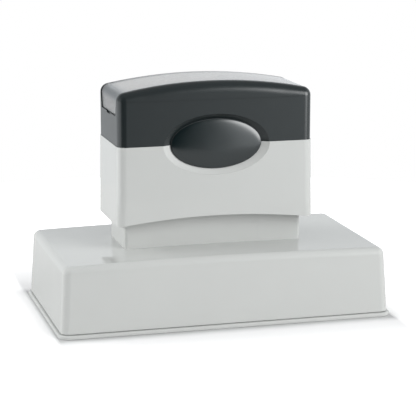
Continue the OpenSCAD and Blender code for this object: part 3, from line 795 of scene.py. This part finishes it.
def cap_block(inset, foot, half_depth):
    """The outline as a solid block across the stamp."""
    bm = bmesh.new()
    start, end = cap_line(bm, inset, foot)
    bm.edges.new((start, end))
    front = bmesh.ops.edgeloop_fill(bm, edges=bm.edges[:])["faces"]
    bmesh.ops.translate(bm, verts=bm.verts, vec=(0, -half_depth, 0))
    back = verts_of(bmesh.ops.extrude_face_region(bm, geom=front)["geom"])
    bmesh.ops.translate(bm, verts=back, vec=(0, 2 * half_depth, 0))
    return bm


corner_x, corner_z, arch_turn = corner_of(0)[1:]
print("cap outline: arch turns", round(2 * arch_turn, 3), "rad")

# %% Block with rolled rims
cap_depth = 16.88 * mm
rim_radius, corner_rim = 4 * mm, 3.15 * mm
corner_share = corner_rim / rim_radius
rim_growth = 8 * mm

bm = cap_block(0, seam, cap_depth)
weight = bm.edges.layers.float.new("bevel_weight_edge")
for edge in bm.edges:
    middle = (edge.verts[0].co + edge.verts[1].co) / 2
    across = abs(edge.verts[0].co.y - edge.verts[1].co.y) > past
    if not across and not level_at(edge, seam):
        grown = min(1, max(0, (corner_x - abs(middle.x)) / rim_growth))
        edge[weight] = corner_share + (1 - corner_share) * grown
cap = stand("grip_cap", bm)
rims = cap.modifiers.new("rims", "BEVEL")
rims.limit_method = "WEIGHT"
rims.width = rim_radius
rims.segments = 10
rims.use_clamp_overlap = False
settle(cap)
print("cap", len(cap.data.polygons), "faces")

# %% Well for the card and window, hollow and spigot
window_thick = 1.2 * mm
card_thick = 0.3 * mm
window_clear = 0.2 * mm
well_floor = window_thick + card_thick + window_clear / 2
window_foot = 11.4 * mm


def band_mesh(gap):
    """The window's band seen from the end: straight over the top, narrowing down the ends."""
    bm = box_mesh((-cap_half - past, -window_high.y - gap, window_low.z - gap),
                  (cap_half + past, window_high.y + gap, crown_z + past))
    slice_along(bm, Z, [corner_z])
    feet = [vert for vert in bm.verts if vert.co.z < corner_z - past]
    bmesh.ops.scale(bm, vec=(1, (window_foot + gap) / (window_high.y + gap), 1), verts=feet)
    return bm


groove = stand("groove", band_mesh(window_clear))
cut(groove, cap_block(well_floor, seam, 2 * cap_depth))
bm = bmesh.new()
bm.from_mesh(groove.data)
bpy.data.objects.remove(groove)
cut(cap, bm)

notch_half, notch_height = 2.8 * mm, 0.6 * mm
notch_deep = 0.5 * mm
for side in (-1, 1):
    middle = Vector((side * cap_half, 0, window_low.z - window_clear))
    reach = Vector((notch_deep, notch_half, notch_height))
    cut(cap, box_mesh(middle - reach, middle + reach))

cap_wall = 2.4 * mm
cut(cap, cap_block(well_floor + cap_wall, seam + cap_wall, cap_depth - cap_wall))
spigot_clear, spigot_short, spigot_wall = 0.1 * mm, 0.35 * mm, 1.4 * mm
spigot = inward(upper, spigot_clear)
spigot_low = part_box("top_cap")[0].z
bm = middle_box(spigot, spigot_low + spigot_short, seam + cap_wall / 2)
roll_upright(bm, grip_corner / 2, 4)
join(cap, bm)
cut(cap, middle_box(inward(spigot, spigot_wall), spigot_low - past, seam + cap_wall + past))
cut(cap, dish_mesh())
show(cap, "handle", charcoal_satin, "charcoal_plastic", "top_cap")
dark_parts.objects.link(cap)

# %% [markdown]
# ## Index window and card
# A band of smoky clear plastic snaps over the cap and keeps a paper card under it. Both follow the cap's
# outline, so the same spun chain of edges is drawn again, swept across into a strip
# and given its thickness. The band narrows down the ends, which is a scale of its two feet.

# %% Strips bent over the cap
def sweep_across(bm, half_width):
    """Turns a chain of edges in the middle plane into a strip of faces across the stamp."""
    edges = bm.edges[:]
    bmesh.ops.translate(bm, verts=bm.verts, vec=(0, -half_width, 0))
    far = verts_of(bmesh.ops.extrude_edge_only(bm, edges=edges)["geom"])
    bmesh.ops.translate(bm, verts=far, vec=(0, 2 * half_width, 0))


def thicken(bm, thickness):
    """Gives a strip over the cap its thickness, towards the inside of the cap."""
    bmesh.ops.recalc_face_normals(bm, faces=bm.faces)
    outward = max(bm.faces, key=lambda face: face.calc_center_median().z).normal.z > 0
    if not outward:
        bmesh.ops.reverse_faces(bm, faces=bm.faces)
    bmesh.ops.solidify(bm, geom=bm.faces[:], thickness=thickness)


def sharp_edges(bm, angle):
    """Edges where the surface turns by more than an angle."""
    return [edge for edge in bm.edges if edge.calc_face_angle(0) > angle]


end_inset = 0.22 * mm
window_roll = 0.2 * mm
bm = bmesh.new()
cap_line(bm, 0, window_low.z)
sweep_across(bm, window_high.y)
feet = [vert for vert in bm.verts if vert.co.z < corner_z - past]
bmesh.ops.scale(bm, vec=(1, window_foot / window_high.y, 1), verts=feet)
thicken(bm, window_thick)
bmesh.ops.scale(bm, vec=(1 - end_inset / cap_half, 1, 1), verts=bm.verts)
roll(bm, sharp_edges(bm, radians(50)), window_roll, 3)
window = stand("window_band", bm)

card_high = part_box("index_card")[1]
card_radius = arch_radius - well_floor + card_thick
card_turn = asin(card_high.x / card_radius)
card_steps = 32
bm = bmesh.new()
first = bm.verts.new((-card_high.x, 0, arch_middle + card_radius * cos(card_turn)))
bmesh.ops.spin(bm, geom=[first], cent=(0, 0, arch_middle), axis=Y, angle=2 * card_turn, steps=card_steps)
sweep_across(bm, card_high.y)
thicken(bm, card_thick)
card = stand("card_strip", bm)
print("window", len(window.data.polygons), "faces, card", len(card.data.polygons), "faces")

# %% [markdown]
# Smoky plastic bends the light and tints it, so it is full transmission with a grey Base Color. At the
# bends its colour is darker, a painted dark reflection, and along the long edges a painted shade darkens
# it.
# Paper is matt, with fibres: a noise that is drawn out along the card makes them.

# %% Finishes for window and card
# painted shade along the long edges and a painted dark reflection at the bends, in the band's colour
edge_shade_fade = (-1.6 * mm, -0.6 * mm)
bend_reflection_ends = (corner_x - 3 * mm, cap_half - 0.6 * mm)
bend_reflection_height = (corner_z - 1.5 * mm, corner_z + 1.5 * mm)
clear_tint, painted_bend_reflection, painted_edge_shade = (0.77, 0.77, 0.77, 1), (0.28, 0.33, 0.36, 1), (0.10, 0.11, 0.11, 1)
scuff_size = 1.5 * mm


def smoky_plastic(graph):
    """Clear plastic with a grey tint, darkened at its bends by a painted reflection and along its long
    edges by a painted shade.
    """
    x, y, z = graph.split(graph.places())
    narrow = graph.between(z, window_low.z, corner_z)
    past_edge = abs(y) - (window_foot + (window_high.y - window_foot) * narrow)
    # painted dark reflection at the bends over the ends
    bend_reflection_mask = graph.between(abs(x), *bend_reflection_ends) * graph.between(z, *bend_reflection_height)
    tint_and_bend_reflection = graph.mix(bend_reflection_mask, clear_tint, painted_bend_reflection)
    scuffs = graph.noise(scuff_size, 4)
    return graph.node("ShaderNodeBsdfPrincipled", sockets={
        # painted shade along the long edges
        "Base Color": graph.mix(graph.between(past_edge, *edge_shade_fade), tint_and_bend_reflection, painted_edge_shade),
        "Roughness": 0.03 + 0.06 * scuffs, "Transmission Weight": 1.0, "IOR": 1.49})


smoky_clear = finish("smoky_clear", smoky_plastic)
fibre_size, fibre_draw, fibre_height = 0.25 * mm, 0.12, 0.01 * mm


def paper_card(graph):
    """Matt paper with fibres along the card."""
    fibres = graph.streaks(fibre_size, (fibre_draw, 1, 1), 4.0)
    bump = graph.node("ShaderNodeBump", sockets={"Distance": fibre_height, "Height": fibres})
    colour = graph.mix(fibres, (0.80, 0.77, 0.73, 1), (0.90, 0.87, 0.83, 1))
    return graph.node("ShaderNodeBsdfPrincipled", sockets={
        "Base Color": colour, "Roughness": 0.75 + 0.2 * fibres, "Normal": bump})


show(window, "window", smoky_clear, "clear_window", "index_window")
show(card, "handle", finish("paper_card", paper_card), "card", "index_card")

# %% [markdown]
# ## The badge
# The badge is a plain black oval under a poured resin lens. Half of a squashed sphere comes close, but
# poured resin is flatter in the middle and turns down fast at its rim. So its profile is drawn as
# a chain of extruded vertices, spun into a round lens and stretched to the oval. Clear resin
# on black looks black all through, so lens and plate share one finish.

# %% Resin lens
dome_low, dome_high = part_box("badge_dome")
dome_edge = 0.3 * mm
dome_rise = dome_high.y - dome_low.y - dome_edge
lens_rings, lens_sides = 24, 96
crown_share, crown_power, rim_power = 0.88, 2.4, 24

bm = bmesh.new()
tip = [bm.verts.new((0, -dome_rise, 0))]
for ring in range(1, lens_rings + 1):
    reach = ring / lens_rings
    fall = crown_share * reach ** crown_power + (1 - crown_share) * reach ** rim_power
    tip = bmesh.ops.extrude_vert_indiv(bm, verts=tip)["verts"]
    tip[0].co = (reach, -dome_rise * (1 - fall), 0)
tip = bmesh.ops.extrude_vert_indiv(bm, verts=tip)["verts"]
bmesh.ops.translate(bm, vec=(0, dome_edge, 0), verts=tip)
tip = bmesh.ops.extrude_vert_indiv(bm, verts=tip)["verts"]
tip[0].co.x = 0
bmesh.ops.spin(bm, geom=bm.verts[:] + bm.edges[:], cent=(0, 0, 0), axis=Y, angle=2 * pi,
               steps=lens_sides, use_merge=True)
bmesh.ops.remove_doubles(bm, verts=bm.verts, dist=1e-6)
bmesh.ops.scale(bm, vec=(dome_high.x, 1, dome_high.z - seam), verts=bm.verts)
bmesh.ops.translate(bm, vec=(0, dome_low.y + dome_rise, seam), verts=bm.verts)
dome = stand("badge_lens", bm)


drift_size = 6 * mm


def black_resin(graph):
    """Black resin whose depth drifts a little, under a glossy coat."""
    drift = graph.noise(drift_size, 2)
    return graph.node("ShaderNodeBsdfPrincipled", sockets={
        "Base Color": graph.mix(drift, (0.003, 0.008, 0.009, 1), (0.007, 0.014, 0.015, 1)),
        "Roughness": 0.16 + 0.04 * drift, "Coat Weight": 0.7, "Coat Roughness": 0.17})


resin = finish("black_resin", black_resin)
show(dome, "handle", resin, "clear_dome", "badge_dome")
dark_parts.objects.link(dome)
dark_parts.objects.link(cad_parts["badge_plate"])

# %% [markdown]
# ## Return springs
# Two wire springs stand between the base and the grip's deck. A spin with a step along its axis is a
# screw, so one circle of wire drawn once becomes all the coils.

# %% Coils by a screw
spring_low, spring_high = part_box("return_spring_left")
wire_radius = 0.5 * mm
coil_radius = 4.8 * mm
coils = 8
coil_steps = 32
spring_length = spring_high.z - spring_low.z
coil_rise = (spring_length - 2 * wire_radius) / coils


def spring_mesh(x):
    """A coil of wire that stands on its foot at a place along the stamp."""
    bm = bmesh.new()
    wire = bmesh.ops.create_circle(bm, cap_ends=True, segments=12, radius=wire_radius)["verts"]
    bmesh.ops.rotate(bm, verts=wire, matrix=Matrix.Rotation(pi / 2, 3, "X"))
    bmesh.ops.translate(bm, verts=wire, vec=(x + coil_radius, 0, spring_low.z + wire_radius))
    last = bmesh.ops.spin(bm, geom=bm.edges[:], cent=(x, 0, 0), axis=Z, dvec=Z * coil_rise / coil_steps,
                          angle=2 * pi * coils, steps=coils * coil_steps)["geom_last"]
    bmesh.ops.edgeloop_fill(bm, edges=edges_of(last))
    return bm


scratch_size, scratch_depth, bloom_size = 0.2 * mm, 0.003 * mm, 3 * mm


def metal(name, colour, polish, streak):
    """Bare metal with fine drawn or turned streaks along its length."""

    def draw(graph):
        scratch = graph.streaks(scratch_size, (1, 1, streak), 3.0)
        cloud = graph.noise(bloom_size, 3)
        bump = graph.node("ShaderNodeBump", sockets={"Distance": scratch_depth, "Height": scratch})
        return graph.node("ShaderNodeBsdfPrincipled", sockets={
            "Base Color": graph.mix(cloud, shade(colour, 0.88), shade(colour, 1.08)),
            "Metallic": 1.0, "Roughness": polish + 0.15 * scratch, "Normal": bump})

    return finish(name, draw)


spring_steel = metal("spring_steel", (0.52, 0.53, 0.54), polish=0.18, streak=6)
for side, name in ((-1, "left"), (1, "right")):
    spring = stand(f"spring_coil_{name}", spring_mesh(side * pin_place))
    show(spring, "base", spring_steel, "spring_steel", f"return_spring_{name}")
    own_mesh(spring)

# %% [markdown]
# ## Ink pad and printing die
# The die is a sheet of porous foam with a raised face, and the pad above it holds the ink. Both are soft
# blocks, so their edges are rounded and their skins are full of pores. The die's face is a plain
# border with bars. One raised block is cut back between them, because blocks that only touch
# would leave the mesh open.

# %% Foam finish
stain_size = 9 * mm
pore_edge = (0.15, 0.7)


def foam(name, colour, pore, depth):
    """Open foam: cells with dark pores between them."""

    def draw(graph):
        cells = graph.node("ShaderNodeTexVoronoi", sockets={"Vector": graph.places(), "Scale": 1 / pore})
        stain = graph.noise(stain_size, 3)
        wall = graph.between(cells, *pore_edge)
        bump = graph.node("ShaderNodeBump", sockets={"Distance": depth, "Height": 1 - wall})
        tone = graph.mix(wall, shade(colour, 1.15), shade(colour, 0.55))
        return graph.node("ShaderNodeBsdfPrincipled", sockets={
            "Base Color": graph.mix(stain, tone, shade(colour, 0.8)),
            "Roughness": 0.65 + 0.25 * wall, "Normal": bump})

    return finish(name, draw)


ink_foam = foam("ink_foam", (0.015, 0.022, 0.090), pore=0.45 * mm, depth=0.12 * mm)
die_foam = foam("die_foam", (0.035, 0.040, 0.110), pore=0.18 * mm, depth=0.03 * mm)
print("foams:", ink_foam.name, die_foam.name)

# %% Soft blocks
def soft_block(low, high, radius):
    """A box with all its edges rounded."""
    bm = box_mesh(low, high)
    roll(bm, bm.edges[:], radius, 4)
    return bm


pad_roll = 0.5 * mm
pad = stand("ink_pad_block", soft_block(*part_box("ink_pad"), pad_roll))
show(pad, "handle", ink_foam, "ink_foam", "ink_pad")

die_low, die_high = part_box("stamp_die")
flange, flange_thick = 1.2 * mm, 0.85 * mm
relief, bar = 0.8 * mm, 2.4 * mm
bar_rows, short_line = 5, 0.7
soft_edge = 0.15 * mm
face_half = inward(die_high, flange)
die_under = die_low.z + relief
overlap = 0.3 * mm

sheet_low = (-die_high.x, -die_high.y, die_high.z - flange_thick)
die = stand("die_sheet", soft_block(sheet_low, die_high, soft_edge))
raised = (face_half.x, face_half.y, die_high.z - overlap)
join(die, soft_block((-face_half.x, -face_half.y, die_low.z), raised, soft_edge))
field = inward(face_half, bar)
cut(die, middle_box(field, die_low.z - past, die_under))
lines = inward(face_half, 2 * bar)
row_pitch = 2 * lines.y / bar_rows
for row in range(bar_rows):
    y = -lines.y + (row + 0.5) * row_pitch
    reach = lines.x * (1 if row % 2 == 0 else short_line)
    line_low = (-reach, y - bar / 2, die_low.z)
    line_high = (reach, y + bar / 2, die_under + overlap)
    join(die, soft_block(line_low, line_high, soft_edge))
show(die, "handle", die_foam, "die_foam", "stamp_die")

# %% [markdown]
# ## The working parts
# Stem, plate, frame, pins, screws, bushes and nuts keep their CAD shapes, which are right as they are.
# They only need finishes: white and dark mouldings, zinc-plated steel and brass.

# %% Finishes for the CAD parts
white_moulding = moulded_plastic("white_moulding", (0.76, 0.76, 0.73), polish=0.32,
                                 grain_depth=0.002 * mm)
dark_moulding = moulded_plastic("dark_moulding", (0.045, 0.047, 0.050), polish=0.35,
                                grain_depth=0.003 * mm)
bearing_plastic = moulded_plastic("bearing_plastic", (0.16, 0.16, 0.16), polish=0.28,
                                  grain_depth=0.001 * mm)
zinc_steel = metal("zinc_steel", (0.63, 0.64, 0.66), polish=0.22, streak=0.15)
brass = metal("brass", (0.72, 0.52, 0.22), polish=0.24, streak=0.3)

dressed = {
    white_moulding: ["stem", "die_plate"],
    dark_moulding: ["die_frame"],
    bearing_plastic: ["guide_bush_left", "guide_bush_right"],
    zinc_steel: ["stem_screws", "die_plate_screws", "guide_pin_left", "guide_pin_right"],
    brass: ["lock_nut_left", "lock_nut_right"],
    resin: ["badge_plate"],
}
for material, nodes in dressed.items():
    for node in nodes:
        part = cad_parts[node]
        part.data.materials.clear()
        part.data.materials.append(material)
print("dressed", sum(len(nodes) for nodes in dressed.values()), "CAD parts")
